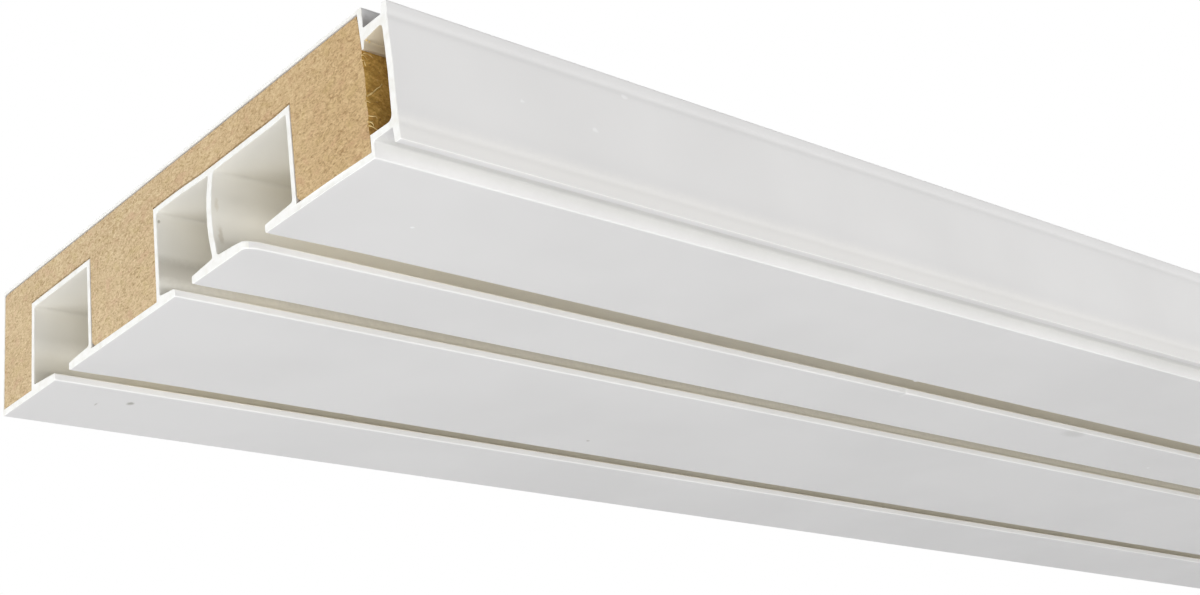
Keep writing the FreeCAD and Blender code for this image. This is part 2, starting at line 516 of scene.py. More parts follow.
@dataclass(frozen=True)
class ChannelPvc(Pvc):
    """The same PVC inside the channels, cooled without a calibrator.

    Its skin is duller and lightly wavy. By default its colour is painted light: lighter and
    yellower than the skin's, for light that comes through the thin walls and bounces between
    them. Near the cut this fades to a plainer white, where a few brown smears lie, and bands
    of painted shade lie low on the walls, under the lips.
    """

    name: str = "white_rigid_pvc_channel_painted_light"
    # Painted light: lighter and yellower than the skin's colour.
    colour: str = "#F4EFE2"
    shade: str = "#EEE8D8"
    # Near the cut the painted yellow gives way to this plainer white.
    near_cut_colour: str = "#F1EFE8"
    near_cut_mm: float = 16.0
    roughness: float = 0.45
    wave_mm: float = 6.0
    drawn_out: float = 0.12
    marks: tuple[Mark, ...] = (
        Mark((-199.2, -12.7, -10.6), (0.35, 0.9, 1.1), "#B09A6E", 0.22),
        Mark((-198.9, -12.7, -14.8), (0.45, 0.9, 1.6), "#A08C66", 0.28),
        Mark((-199.7, 0.9, -7.4), (0.25, 0.6, 0.3), "#8C8470", 0.6),
        Mark((-198.7, -12.4, -17.9), (0.7, 1.4, 0.6), "#B09A6E", 0.4),
        Mark((-198.9, 34.0, -18.0), (0.8, 2.2, 0.6), "#B8A67E", 0.3),
        # Painted shade low on the rear channel's wall, just inside the cut.
        Mark((-197.5, 36.1, -15.4), (6.0, 1.6, 3.6), "#C4BDA8", 0.35),
        # Painted shade low on the middle channel's wall, under the lip, all along the run.
        Mark((0.0, 0.6, -14.15), (2000.0, 1.6, 2.2), "#B6B1A6", 0.66),
    )

    def surface(self, tree: Tree, place: Socket) -> dict[str, object]:
        """Dull white, painted lighter and warmer, with a slow waviness and a plainer white near
        the cut.

        Args:
            tree: The material's tree.
            place: Object coordinates, in metres.

        Returns:
            What feeds the shader.
        """
        drawn = add(tree, "Mapping", {"Vector": place, "Scale": (self.drawn_out, 1.0, 1.0)})
        wave = add(tree, "TexNoise", {
            "Vector": drawn, "Scale": per_mm(self.wave_mm), "Detail": 3.0})
        colour = add(tree, "ValToRGB", {"Fac": wave}, ((0.34, self.shade), (0.6, self.colour)))
        along = add(tree, "SeparateXYZ", {"Vector": place}).outputs["X"]
        from_middle = add(tree, "Math", {0: along}, operation="ABSOLUTE")
        half_run = TrackSizes.run_length / 2
        # The painted light fades out near the cut, where the colour turns to the plainer near-cut
        # one.
        near_cut = add(tree, "MapRange", {
            "Value": from_middle, "From Min": (half_run - self.near_cut_mm) * MM,
            "From Max": half_run * MM})
        near_cut_toned = add(tree, "Mix", {
            "Factor": near_cut, "A": colour, "B": self.near_cut_colour}, data_type="RGBA")
        bump = add(tree, "Bump", {"Height": wave, "Strength": 0.12, "Distance": 0.2 * MM})
        return {"Base Color": self.marked(tree, place, near_cut_toned), "Normal": bump}


@dataclass(frozen=True)
class SawnPvc(Pvc):
    """White rigid PVC, sawn across.

    The saw leaves a dull, chalk-white face with fine upright scores, so it shows the
    brightest white on the piece and no reflection.
    """

    name: str = "white_rigid_pvc_sawn"
    colour: str = "#FAFAF7"
    shade: str = "#F1F0EA"
    roughness: float = 0.62
    score_mm: float = 0.25
    score_tilt: float = 0.35
    patch_mm: float = 1.6

    def surface(self, tree: Tree, place: Socket) -> dict[str, object]:
        """Chalky white with saw scores.

        Args:
            tree: The material's tree.
            place: Object coordinates, in metres.

        Returns:
            What feeds the shader.
        """
        drawn = add(tree, "Mapping", {
            "Vector": place, "Rotation": (self.score_tilt, 0.0, 0.0), "Scale": (1.0, 1.0, 0.12)})
        scores = add(tree, "TexNoise", {
            "Vector": drawn, "Scale": per_mm(self.score_mm), "Detail": 2.0})
        patch = add(tree, "TexNoise", {
            "Vector": place, "Scale": per_mm(self.patch_mm), "Detail": 3.0})
        colour = add(tree, "ValToRGB", {"Fac": patch}, ((0.3, self.shade), (0.55, self.colour)))
        bump = add(tree, "Bump", {"Height": scores, "Strength": 0.35, "Distance": 0.06 * MM})
        return {"Base Color": colour, "Normal": bump}


@dataclass(frozen=True)
class Fibreboard(Finish):
    """Medium-density fibreboard, cut and left raw.

    Pressed wood fibres with no grain direction: a matt tan face with fine curled flecks,
    pale where a fibre lies along the cut and brown where its end or a bit of bark shows.
    Real fibres are about 0.05 mm wide, so they are drawn coarser here to show.
    """

    name: str = "fibreboard_sawn_end"
    pale: str = "#E6D2AA"
    body: str = "#D0B790"
    dark: str = "#A0845A"
    bark: str = "#7C5C34"
    rosy: str = "#CDA68A"
    straw: str = "#C9B67C"
    # Painted shade, multiplied in towards the room side.
    roomward_shade: str = "#F7EEDF"
    roughness: float = 0.88
    fleck_mm: float = 0.6
    fibre_mm: float = 0.32
    tint_mm: float = 2.2
    cloud_mm: float = 9.0
    speck_mm: float = 1.5
    relief: float = 0.6

    def surface(self, tree: Tree, place: Socket) -> dict[str, object]:
        """Matt tan with curled flecks, a few brown specks and slow clouds.

        Args:
            tree: The material's tree.
            place: Object coordinates, in metres.

        Returns:
            What feeds the shader.
        """
        # Fibres lie flatter than they stand, because the mat is pressed.
        mat = add(tree, "Mapping", {"Vector": place, "Scale": (1.0, 0.7, 1.3)})
        fleck, fibre, tint, cloud = (
            add(tree, "TexNoise", {
                "Vector": where, "Scale": per_mm(size), "Detail": detail, "Roughness": rough,
                "Distortion": curl})
            for where, size, detail, rough, curl in (
                (mat, self.fleck_mm, 4.0, 0.62, 1.4), (mat, self.fibre_mm, 3.0, 0.7, 0.6),
                (mat, self.tint_mm, 3.0, 0.5, 0.5), (place, self.cloud_mm, 2.0, 0.5, 0.0)))
        both = add(tree, "Mix", {"Factor": 0.4, "A": fleck, "B": fibre}, data_type="FLOAT")
        shifted = add(tree, "Math", {0: cloud, 1: 0.10, 2: both}, operation="MULTIPLY_ADD")
        colour = add(tree, "ValToRGB", {"Fac": shifted}, (
            (0.40, self.dark), (0.545, self.body), (0.70, self.pale)))
        specks = add(tree, "TexVoronoi", {"Vector": mat, "Scale": per_mm(self.speck_mm)})
        near = add(tree, "MapRange", {
            "Value": specks, "From Min": 0.08, "From Max": 0.15, "To Min": 0.4, "To Max": 0.0})
        few = add(tree, "Math", {0: specks.outputs["Color"], 1: 0.6}, operation="GREATER_THAN")
        # Fibres of different woods are a little redder or yellower than their neighbours.
        for tone, share in (
            (self.rosy, add(tree, "MapRange", {
                "Value": tint, "From Min": 0.56, "From Max": 0.72, "To Max": 0.4})),
            (self.straw, add(tree, "MapRange", {
                "Value": tint, "From Min": 0.44, "From Max": 0.30, "To Max": 0.22})),
            (self.bark, add(tree, "Math", {0: near, 1: few}, operation="MULTIPLY")),
        ):
            colour = add(tree, "Mix", {"Factor": share, "A": colour, "B": tone}, data_type="RGBA")
        # Painted shade: the face is a little darker and browner towards the room side, where less
        # light falls.
        across = add(tree, "SeparateXYZ", {"Vector": place}).outputs["Y"]
        roomward = add(tree, "MapRange", {
            "Value": across, "From Min": 10 * MM, "From Max": -45 * MM})
        with_roomward_shade = add(tree, "Mix", {
            "Factor": roomward, "A": colour, "B": self.roomward_shade,
        }, data_type="RGBA", blend_type="MULTIPLY")
        bump = add(tree, "Bump", {"Height": both, "Strength": self.relief, "Distance": 0.2 * MM})
        return {"Base Color": with_roomward_shade, "Normal": bump}


@dataclass(frozen=True)
class FibreboardFlank(Fibreboard):
    """The board's long room side, in the narrow hollow behind the front panel.

    Its colours are painted shade: a darker, browner copy of the board's, with slow streaks,
    for the shade in that hollow.
    """

    name: str = "fibreboard_flank_painted_shade"
    # Painted shade: each colour darker and browner than the end's.
    pale: str = "#E6C67A"
    body: str = "#BF9C52"
    dark: str = "#947236"
    bark: str = "#6F5230"
    rosy: str = "#BE8A52"
    straw: str = "#B39C56"
    fleck_mm: float = 1.2
    relief: float = 0.4


@dataclass(frozen=True)
class WoodFibre(Finish):
    """Single wood fibres and sawdust: dry, matt and paler than the board they come from."""

    name: str = "loose_wood_fibre"
    pale: str = "#E8CF90"
    brown: str = "#B08C4C"
    roughness: float = 0.85
    patch_mm: float = 0.8

    def surface(self, tree: Tree, place: Socket) -> dict[str, object]:
        """Pale straw colour that changes from fibre to fibre.

        Args:
            tree: The material's tree.
            place: Object coordinates, in metres.

        Returns:
            What feeds the shader.
        """
        patch = add(tree, "TexNoise", {
            "Vector": place, "Scale": per_mm(self.patch_mm), "Detail": 1.0})
        straw = add(tree, "ValToRGB", {"Fac": patch}, ((0.35, self.brown), (0.6, self.pale)))
        return {"Base Color": straw}


# ---- Outlines across the run ----


def arc_points(corner: Corner, before: Corner, after: Corner) -> list[Vector]:
    """Points that round one corner.

    Args:
        corner: The corner to round.
        before: The corner before it on the outline.
        after: The corner after it.

    Returns:
        The corner itself if it is sharp, else points along the arc.
    """
    here = Vector((corner.depth, corner.height))
    if corner.radius <= 0:
        return [here]
    to_before = (Vector((before.depth, before.height)) - here).normalized()
    to_after = (Vector((after.depth, after.height)) - here).normalized()
    angle = to_before.angle(to_after)
    reach = corner.radius / math.tan(angle / 2)
    start, end = here + to_before * reach, here + to_after * reach
    centre = here + (to_before + to_after).normalized() * corner.radius / math.sin(angle / 2)
    turn = math.pi - angle
    count = max(2, math.ceil(turn / ARC_STEP))
    a = start - centre
    sign = 1 if a.cross(end - centre) > 0 else -1
    return [centre + Matrix.Rotation(sign * turn * i / count, 2) @ a for i in range(count + 1)]


def trace(corners: list[Corner], step: float, margin: float = 0.12) -> list[Vector]:
    """Dense points round a closed outline.

    Args:
        corners: The outline's corners in order.
        step: Longest distance between points on a straight side.
        margin: Distance of the first point on a side from its corner.

    Returns:
        Points with arcs at the rounded corners and a close pair beside each arc, which
        keeps the smooth shading of an arc off the flat sides.
    """
    count = len(corners)
    arcs = [arc_points(corners[i], corners[i - 1], corners[(i + 1) % count]) for i in range(count)]
    points: list[Vector] = []
    for i, arc in enumerate(arcs):
        points += arc
        side = arcs[(i + 1) % count][0] - arc[-1]
        length = side.length
        start = margin if length > 5 * margin else 0.0
        inner = length - 2 * start
        steps = max(1, math.ceil(inner / (corners[i].step or step)))
        stops = [start + inner * k / steps for k in range(steps + 1)]
        points += [arc[-1] + side * (s / length) for s in stops if 0.01 < s < length - 0.01]
    return points


def outward(points: list[Vector], lies: Lies) -> list[Vector]:
    """Direction out of the material at each point of an outline.

    Args:
        points: Closed outline, anticlockwise.
        lies: Where the material lies.

    Returns:
        One unit vector for each point.
    """
    ways = [points[(i + 1) % len(points)] - points[i - 1] for i in range(len(points))]
    return [Vector((way.y, -way.x)).normalized() * lies.value for way in ways]


def run_stations(
    length: float, close: list[float], step: float, extra: list[float],
) -> list[float]:
    """Distances from the left cut at which a section is drawn.

    Args:
        length: Length of the run.
        close: Distances from each cut that are drawn finely.
        step: Distance between sections over the rest of the run.
        extra: Further distances from the left cut.

    Returns:
        Sorted distances.
    """
    middle = length - 2 * close[-1]
    count = math.ceil(middle / step)
    plain = [close[-1] + middle * i / count for i in range(1, count)]
    return sorted({*close, *plain, *extra, *(length - c for c in close)})


def smooth(value: float, low: float, high: float) -> float:
    """Share from 0 to 1 of the way from low to high, eased at both ends."""
    share = min(1.0, max(0.0, (value - low) / (high - low)))
    return share * share * (3 - 2 * share)


def between(value: float, start: float, full: float, drop: float, end: float) -> float:
    """Share that rises from start to full, stays at 1 and falls from drop to end."""
    return smooth(value, start, full) * (1 - smooth(value, drop, end))


def fade(distance: float, reach: float) -> float:
    """Bell curve: 1 at no distance, about a third at the reach, next to nothing at twice that."""
    return math.exp(-((distance / reach) ** 2))


@dataclass(frozen=True)
class SawPull:
    """How the saw pulled the walls and the board at the left cut, and what it bit off there."""

    reach: float = 9.0
    shift: float = 0.1
    lean: float = 0.025
    sag: float = 0.3
    bite: float = 0.2
    bite_reach: float = 3.0
    # Depths between which all walls move aside, and between which the roof sags.
    walls: tuple[float, float, float, float] = (12.0, 25.0, 79.0, 90.0)
    pair: tuple[float, float, float, float] = (50.0, 58.0, 73.0, 79.0)
    # Heights between which the sag sets in, and the board over the roof, in which it fades.
    sag_heights: tuple[float, float] = (9.0, 13.6)
    board_top: float = 19.0
    bridge: float = 4.4
    lean_top: float = 13.4
    # The corner that was bitten off sets in between these depths and ends between these heights.
    bite_depths: tuple[float, float] = (84.0, 91.0)
    bite_heights: tuple[float, float] = (9.0, 15.0)

    def pulled(self, point: Vector, along: float) -> Vector:
        """The point moved with the walls and the board.

        Args:
            point: Depth and height.
            along: Distance from the left cut.

        Returns:
            The point, up to 0.45 mm nearer to the wall side and up to 0.3 mm lower over the
            front pair.
        """
        share = fade(along, self.reach)
        if share < 0.01:
            return point
        under_top = min(1.0, max(0.0, (self.board_top - point.y) / self.bridge))
        lean = self.shift + self.lean * min(point.y, self.lean_top)
        down = self.sag * between(point.x, *self.pair) * smooth(point.y, *self.sag_heights)
        return point - Vector((lean * between(point.x, *self.walls), down * under_top)) * share

    def set_back(self, point: Vector, along: float) -> float:
        """Distance from the cut after a little more came off the lower room-side corner.

        Args:
            point: Depth and height.
            along: Distance from the left cut.

        Returns:
            The distance, up to 0.2 mm longer.
        """
        corner = smooth(point.x, *self.bite_depths) * (1 - smooth(point.y, *self.bite_heights))
        return along + self.bite * corner * fade(along, self.bite_reach)


# ---- The extrusion ----


@dataclass
class Sleeve:
    """The white extrusion: skins, three slotted channels, front panel and clip grooves."""

    sizes: TrackSizes = TrackSizes()
    saw: SawPull = SawPull()
    skin: ExtrudedPvc = ExtrudedPvc()
    cut: SawnPvc = SawnPvc()
    inside: ChannelPvc = ChannelPvc()
    # Painted shade: the hollow behind the front panel gets a darker, warmer copy of the channel
    # PVC.
    hollow: ChannelPvc = ChannelPvc(
        name="white_rigid_pvc_hollow_painted_shade", colour="#EADDC5", shade="#DECFB3", near_cut_colour="#E6DCC6",
        # Painted shade: a darker band along the hook's foot, all along the run.
        marks=(Mark((0.0, -46.0, -5.4), (2000.0, 1.0, 1.1), "#B0A28C", 0.45),))
    broken_edge: float = 0.03
    wander: float = 0.03
    wander_mm: float = 38.0
    ragged: float = 0.035
    ragged_mm: float = 0.5
    ragged_reach: float = 1.2
    tip_round: float = 0.24
    bow_at_cut: float = 0.4
    bow_reach: float = 12.0
    tip_pull: float = 0.35
    tip_reach: float = 9.0
    web_heel: float = 0.45
    hook_swell: float = 0.4
    foot_round: float = 0.1
    flange_bend: float = 40.0
    top_rounds: tuple[float, float] = (0.3, 0.5)
    sink_zone: float = 1.9
    sink_steps: tuple[float, float] = (0.25, 0.22)
    chip_depth: float = 1.15
    chip_width: float = 2.2
    chip_length: float = 2.1
    chip_curve: float = 1.2
    # How far off the divider's own faces a point of it may be, after its wear.
    slack: float = 0.41
    outline_steps: tuple[float, float] = (2.2, 3.0)
    station_step: float = 4.5
    cut_zone: float = 0.6
    seam: float = 0.1
    sharp_degrees: float = 38.0
    sinks: tuple[Dip, ...] = (Dip(16.25, 0.09, 0.5), Dip(2.45, 0.05, 0.45))
    nicks: tuple[Nick, ...] = (
        Nick(122.5, 70.6, 0.1, (-0.32, 0.0), 0.45, 0.5),
        Nick(126.0, 66.1, 0.2, (-0.15, 0.1), 0.35, 0.4),
    )

    def outer_corners(self) -> list[Corner]:
        """The outline seen from outside, with the channels, slots and clip grooves.

        Returns:
            Its corners, anticlockwise.
        """
        s = self.sizes
        edge, tip = s.edge_round, self.tip_round
        corners = [(0.0, 0.0, edge)]
        for start, end, lip in s.channels:
            rear_tip = start + lip
            front_tip = rear_tip + s.slot_width
            corners += [(rear_tip, 0.0, tip), (rear_tip, s.lip_tip, tip)]
            corners += [(depth, height, s.channel_round) for depth, height in (
                (start, s.lip_root), (start, s.roof_height),
                (end, s.roof_height), (end, s.lip_root))]
            corners += [(front_tip, s.lip_tip, tip), (front_tip, 0.0, tip)]
        groove_floor = s.ceiling - s.upper_groove
        top = s.ceiling - s.panel_drop
        corners += [
            (s.ceiling_front, 0.0, edge), (s.ceiling_front, s.lower_groove, edge),
            (s.panel_inner, s.lower_groove, edge),
            (s.panel_inner + s.lower_lean, s.panel_rise, edge),
            (s.panel_outer + s.lower_lean, s.panel_rise, self.foot_round, self.sink_steps[0]),
            (s.panel_outer, s.lower_web_top + s.crease, self.flange_bend),
            (s.panel_outer, s.upper_web_under - self.sink_zone, 0.0, self.sink_steps[1]),
            (s.panel_outer, top, self.top_rounds[0]), (s.panel_inner, top, self.top_rounds[1]),
            (s.panel_inner, groove_floor, edge), (s.ceiling_front, groove_floor, edge),
            (s.ceiling_front, s.ceiling, edge), (0.0, s.ceiling, edge),
        ]
        return [Corner(*corner) for corner in corners]

    def inner_corners(self) -> list[Corner]:
        """The hollow that holds the board, with the hollow behind the front panel.

        Returns:
            Its corners, anticlockwise too.
        """
        s = self.sizes
        web_top, web_under = s.lower_web_top, s.upper_web_under
        corners = [(s.back_skin, s.plate)]
        for start, end in ((s.rear_box, s.rear_box_end), (s.pair_box, s.pair_box_end)):
            corners += [(start, s.plate), (start, s.roof_top), (end, s.roof_top), (end, s.plate)]
        corners += [
            (s.core_front, s.plate), (s.core_front, web_top),
            (s.panel_inner, web_top, s.web_round), (s.panel_inner, web_under, s.web_round),
            (s.ceiling_front, web_under - self.web_heel), (s.core_front + s.hook_tip, s.hook_end),
            (s.core_front, s.hook_end), (s.core_front - self.hook_swell, s.under_skin),
            (s.back_skin, s.under_skin),
        ]
        return [Corner(*corner) for corner in corners]

    def bowed(self, point: Vector, along: float) -> Vector:
        """The point moved with the bowed divider, whose bow is deeper at the left cut.

        Args:
            point: Depth and height.
            along: Distance from the left cut.

        Returns:
            The point, moved if it is on the divider.
        """
        s = self.sizes
        share = (point.y - s.lip_root) / (s.roof_height - s.lip_root)
        at_divider = s.middle_end - self.slack < point.x < s.front_start + self.slack
        if not (at_divider and 0 < share < 1):
            return point
        bow = s.divider_bow + self.bow_at_cut * fade(along, self.bow_reach)
        return point - Vector((bow * (1 - (2 * share - 1) ** 2), 0))

    def drawn_in(self, point: Vector, along: float) -> Vector:
        """The point moved with the front lips, which reach further into the slots at the cut.

        Args:
            point: Depth and height.
            along: Distance from the left cut.

        Returns:
            The point, moved if it is on a front lip.
        """
        s = self.sizes
        for start, end, lip in s.channels:
            tip = start + lip + s.slot_width
            if tip - self.seam < point.x < end and point.y < s.lip_root:
                reach = self.tip_pull * (end - point.x) / (end - tip)
                return point - Vector((reach * fade(along, self.tip_reach), 0))
        return point

    def chipped(self, point: Vector, along: float) -> Vector:
        """The point moved by the broken corner of the divider's front lip at the left cut.

        Args:
            point: Depth and height.
            along: Distance from the left cut.

        Returns:
            The point, moved if it is at that corner.
        """
        s = self.sizes
        tip = s.channels[2][0] + s.front_lip
        root = tip - self.chip_width
        on_lip = root < point.x <= tip + 0.01 and point.y <= s.lip_root
        if along >= self.chip_length or not on_lip:
            return point
        left = 1 - along / self.chip_length
        gone = self.chip_depth * (1 - math.sqrt(max(0.0, 1 - left ** 2)))
        share = ((point.x - root) / self.chip_width) ** self.chip_curve
        return point - Vector((gone * share, 0))

    def nicked(self, point: Vector, along: float) -> Vector:
        """The point moved by the burrs and dents on the slot edges.

        Args:
            point: Depth and height.
            along: Distance from the left cut.

        Returns:
            The point, moved if it is near one.
        """
        for nick in self.nicks:
            off = abs(along - nick.along) / nick.half_width
            far = (point - Vector((nick.depth, nick.height))).length / nick.reach
            if off < 1 and far < 1:
                point = point + Vector(nick.push) * (1 - off * off) * (1 - far * far)
        return point

    def loop(self, points: list[Vector], lies: Lies, along: float) -> list[Vector]:
        """One section of an outline, with the small faults of the real run.

        Args:
            points: The outline.
            lies: Where the material lies.
            along: Distance from the left cut.

        Returns:
            The points, worn a little way in and moved as the faults move them.
        """
        s = self.sizes
        to_cut = min(along, s.run_length - along)
        section = []
        for point, normal in zip(points, outward(points, lies)):
            place = Vector((along, point.x, point.y)) / self.wander_mm
            inward = self.wander * (0.5 + 0.5 * noise.noise(place + Vector((3.1, 0, 7.7))))
            if normal.x >= 0.9 and point.x >= s.panel_outer - 0.5:
                inward += sum(sink.at(point.y) for sink in self.sinks)
            if to_cut < self.ragged_reach:
                across = point / self.ragged_mm
                rough = noise.noise(Vector((across.x, across.y, 11.0 + along)))
                inward += self.ragged * (0.5 + 0.5 * rough) * (1 - to_cut / self.ragged_reach)
            if to_cut == 0:
                inward += self.broken_edge
            moved = self.drawn_in(self.bowed(point, along) - normal * inward, along)
            moved = self.nicked(self.chipped(moved, along), along)
            section.append(self.saw.pulled(moved, along))
        return section

    def build(self) -> bpy.types.Object:
        """The whole extrusion, dressed.

        Returns:
            One mesh object with its two sawn ends.
        """
        s = self.sizes
        near = [0.0, 0.07, 0.3, 0.6, 1.0, 1.5, 2.1, 3.0, 4.5, 6.5, 9.0]
        shares = (-1.2, -0.8, -0.5, -0.2, 0.0, 0.2, 0.5, 0.8, 1.2)
        extra = [nick.along + share * nick.half_width for nick in self.nicks for share in shares]
        stations = run_stations(s.run_length, near, self.station_step, extra)
        vertices: list[Vector] = []
        faces: list[tuple[int, ...]] = []
        caps: list[list[range]] = [[], []]
        for points, lies in (
            (trace(self.outer_corners(), self.outline_steps[0]), Lies.INSIDE),
            (trace(self.inner_corners(), self.outline_steps[1]), Lies.OUTSIDE),
        ):
            base, count = len(vertices), len(points)
            for along in stations:
                vertices += [
                    s.row(self.saw.set_back(p, along), p.x, p.y)
                    for p in self.loop(points, lies, along)]
            for ring in range(len(stations) - 1):
                for i in range(count):
                    a, b = base + ring * count + i, base + ring * count + (i + 1) % count
                    faces.append((a, b, b + count, a + count))
            last = base + (len(stations) - 1) * count
            caps[0].append(range(base, base + count))
            caps[1].append(range(last, last + count))
        for rings in caps:
            flat = [index for ring in rings for index in ring]
            spots = [[Vector((*vertices[i].yz, 0)) * 1000 for i in ring] for ring in rings]
            triangles = geometry.tessellate_polygon(spots)
            faces += [tuple(flat[k] for k in triangle) for triangle in triangles]
        mesh = bpy.data.meshes.new("sleeve_extrusion")
        mesh.from_pydata(vertices, [], faces)
        self.dress(mesh)
        return shown("sleeve_extrusion", mesh)

    def region(self, place: Vector) -> Surface:
        """Surface at a place of the mesh away from the cuts.

        Args:
            place: Place in the row frame, in metres.

        Returns:
            The skin, the inside of a channel or the hollow behind the front panel.
        """
        s, seam = self.sizes, self.seam
        depth, height = s.ceiling_front / 2 - place.y / MM, place.z / MM + s.ceiling
        # The divider belongs to the channel after it, and the lips' tips to the channel over them.
        before = s.divider + 1.5 * seam
        if s.plate - seam / 2 < height < s.roof_height + seam / 2:
            if any(start - before < depth < end + seam for start, end, _ in s.channels):
                return Surface.CHANNEL
        behind_panel = s.core_front - seam < depth < s.panel_inner + seam
        if behind_panel and s.lower_web_top - seam < height < s.upper_web_under + seam:
            return Surface.HOLLOW
        return Surface.SKIN

    def dress(self, mesh: bpy.types.Mesh) -> None:
        """Gives the skin, the channels and the sawn ends their finishes and their shading.

        Args:
            mesh: The extrusion's mesh.
        """
        tidy(mesh)
        for finish in (self.skin, self.cut, self.inside, self.hollow):
            mesh.materials.append(finish.material())
        cut_from = (self.sizes.run_length / 2 - self.cut_zone) * MM
        for face in mesh.polygons:
            at_cut = abs(face.normal.x) > 0.3 and all(
                abs(mesh.vertices[i].co.x) > cut_from for i in face.vertices)
            surface = Surface.CUT if at_cut else self.region(face.center)
            face.material_index = surface.value
            face.use_smooth = True
        mesh.set_sharp_from_angle(angle=math.radians(self.sharp_degrees))


def tidy(mesh: bpy.types.Mesh) -> None:
    """Merges stray doubles and turns all faces outwards.

    Args:
        mesh: The mesh to clean.
    """
    work = bmesh.new()
    work.from_mesh(mesh)
    bmesh.ops.remove_doubles(work, verts=work.verts, dist=1e-7)
    bmesh.ops.dissolve_degenerate(work, edges=work.edges, dist=1e-8)
    bmesh.ops.recalc_face_normals(work, faces=work.faces)
    work.to_mesh(mesh)
    work.free()


# ---- The board ----


@dataclass
class Board:
    """The fibreboard core with its two milled grooves and its rough sawn ends."""

    sizes: TrackSizes = TrackSizes()
    saw: SawPull = SawPull()
    finish: Fibreboard = Fibreboard()
    flank: FibreboardFlank = FibreboardFlank()
    worn: float = 0.12
    cell: float = 0.5
    pluck: float = 0.09
    pluck_mm: float = 0.8
    fine_share: float = 0.4
    tuft_mm: float = 0.9
    worn_zone: float = 0.5
    fray: float = 0.12
    fray_zone: float = 1.0
    ripped_zone: float = 40.0
    squeeze: float = 0.4
    eaten: float = 0.6
    sharp_degrees: float = 50.0
    frayed: tuple[Dip, ...] = (
        Dip(13.2, 0.12, 0.6), Dip(8.0, 0.14, 0.5), Dip(7.1, 0.1, 0.3), Dip(4.3, 0.14, 0.6))

    @property
    def groove_top(self) -> float:
        """Height of the grooves' roofs."""
        return self.sizes.roof_top + self.sizes.core_clearance

    @property
    def grooves(self) -> tuple[tuple[float, float], ...]:
        """The two grooves, from the wall side to the room side.

        Returns:
            Start and end depth of each.
        """
        s = self.sizes
        boxes = ((s.rear_box, s.rear_box_end), (s.pair_box, s.pair_box_end))
        return tuple((start, end + s.groove_play) for start, end in boxes)

    def lines(self, stops: list[float]) -> list[float]:
        """Grid lines through all stops.

        Args:
            stops: Places that get a line, in order.

        Returns:
            The stops with lines between them, about one cell apart.
        """
        found = []
        for a, b in zip(stops, stops[1:]):
            count = max(1, round((b - a) / self.cell))
            found += [a + (b - a) * i / count for i in range(count)]
        return found + [stops[-1]]

    def eased(self, depth: float, height: float) -> tuple[float, float]:
        """A point of the section after the broken edges of the board.

        Args:
            depth: Depth of the point.
            height: Height of the point.

        Returns:
            Its depth and height, moved inwards near a broken edge.
        """
        s = self.sizes
        spots = [(end, s.plate, 1, 1, s.groove_chamfer) for _, end in self.grooves]
        spots += [
            (edge, s.core_top, way, -1, s.core_chamfer)
            for edge, way in ((s.back_skin, 1), (s.core_front, -1))]
        for corner, level, du, dv, size in spots:
            a, b = (depth - corner) * du, (height - level) * dv
            if 0 <= a and 0 <= b and a + b < size:
                missing = (size - a - b) / 2
                return depth + du * missing, height + dv * missing
        return depth, height

    def build(self) -> bpy.types.Object:
        """The board, dressed: a fine grid on both ends, joined along the run.

        Returns:
            One mesh object.
        """
        s = self.sizes
        columns = self.lines([s.back_skin, *self.grooves[0], *self.grooves[1], s.core_front])
        rows = self.lines([s.plate, self.groove_top, s.core_top])

        def solid(i: int, j: int) -> bool:
            """Whether a grid cell is board.

            Args:
                i: Its column.
                j: Its row.

            Returns:
                True if it is on the grid and outside the grooves.
            """
            if not (0 <= i < len(columns) - 1 and 0 <= j < len(rows) - 1):
                return False
            u, v = (columns[i] + columns[i + 1]) / 2, (rows[j] + rows[j + 1]) / 2
            return v > self.groove_top or not any(start < u < end for start, end in self.grooves)

        near = [0.0] + [0.4 * k for k in range(1, 21)]
        near += [9.0, 10.5, 12.5, 15.0, 19.0, 25.0, 34.0, 48.0]
        stations = run_stations(s.run_length, near, self.ripped_zone, [])
        vertices: list[Vector] = []
        index: dict[tuple[int, int, int], int] = {}

        def vertex(i: int, j: int, k: int) -> int:
            """Number of a grid vertex, made when it is first asked for.

            Args:
                i: Its column line.
                j: Its row line.
                k: Its station.

            Returns:
                The number.
            """
            if (i, j, k) not in index:
                index[i, j, k] = len(vertices)
                vertices.append(self.place(columns[i], rows[j], stations[k]))
            return index[i, j, k]

        # Each side of a cell: the way to the cell beyond it, and its own two corners.
        sides = (
            (0, -1, (0, 0), (1, 0)), (0, 1, (0, 1), (1, 1)),
            (-1, 0, (0, 0), (0, 1)), (1, 0, (1, 0), (1, 1)))
        last = len(stations) - 1
        faces = []
        for i, j in ((i, j) for i in range(len(columns)) for j in range(len(rows)) if solid(i, j)):
            corners = ((i, j), (i + 1, j), (i + 1, j + 1), (i, j + 1))
            faces += [tuple(vertex(a, b, k) for a, b in corners) for k in (0, last)]
            for di, dj, (a, b), (c, d) in sides:
                if solid(i + di, j + dj):
                    continue
                for k in range(last):
                    faces.append((
                        vertex(i + a, j + b, k), vertex(i + c, j + d, k),
                        vertex(i + c, j + d, k + 1), vertex(i + a, j + b, k + 1)))
        mesh = bpy.data.meshes.new("fibreboard_core")
        mesh.from_pydata(vertices, [], faces)
        tidy(mesh)
        mesh.materials.append(self.finish.material())
        # The room side takes the flank's painted-shade copy of the board's colours.
        mesh.materials.append(self.flank.material())
        room_side = s.row(0.0, s.core_front - self.eaten, 0.0).y
        for face in mesh.polygons:
            face.use_smooth = True
            face.material_index = int(face.normal.y < -0.6 and face.center.y < room_side)
        mesh.set_sharp_from_angle(angle=math.radians(self.sharp_degrees))
        return shown("fibreboard_core", mesh)

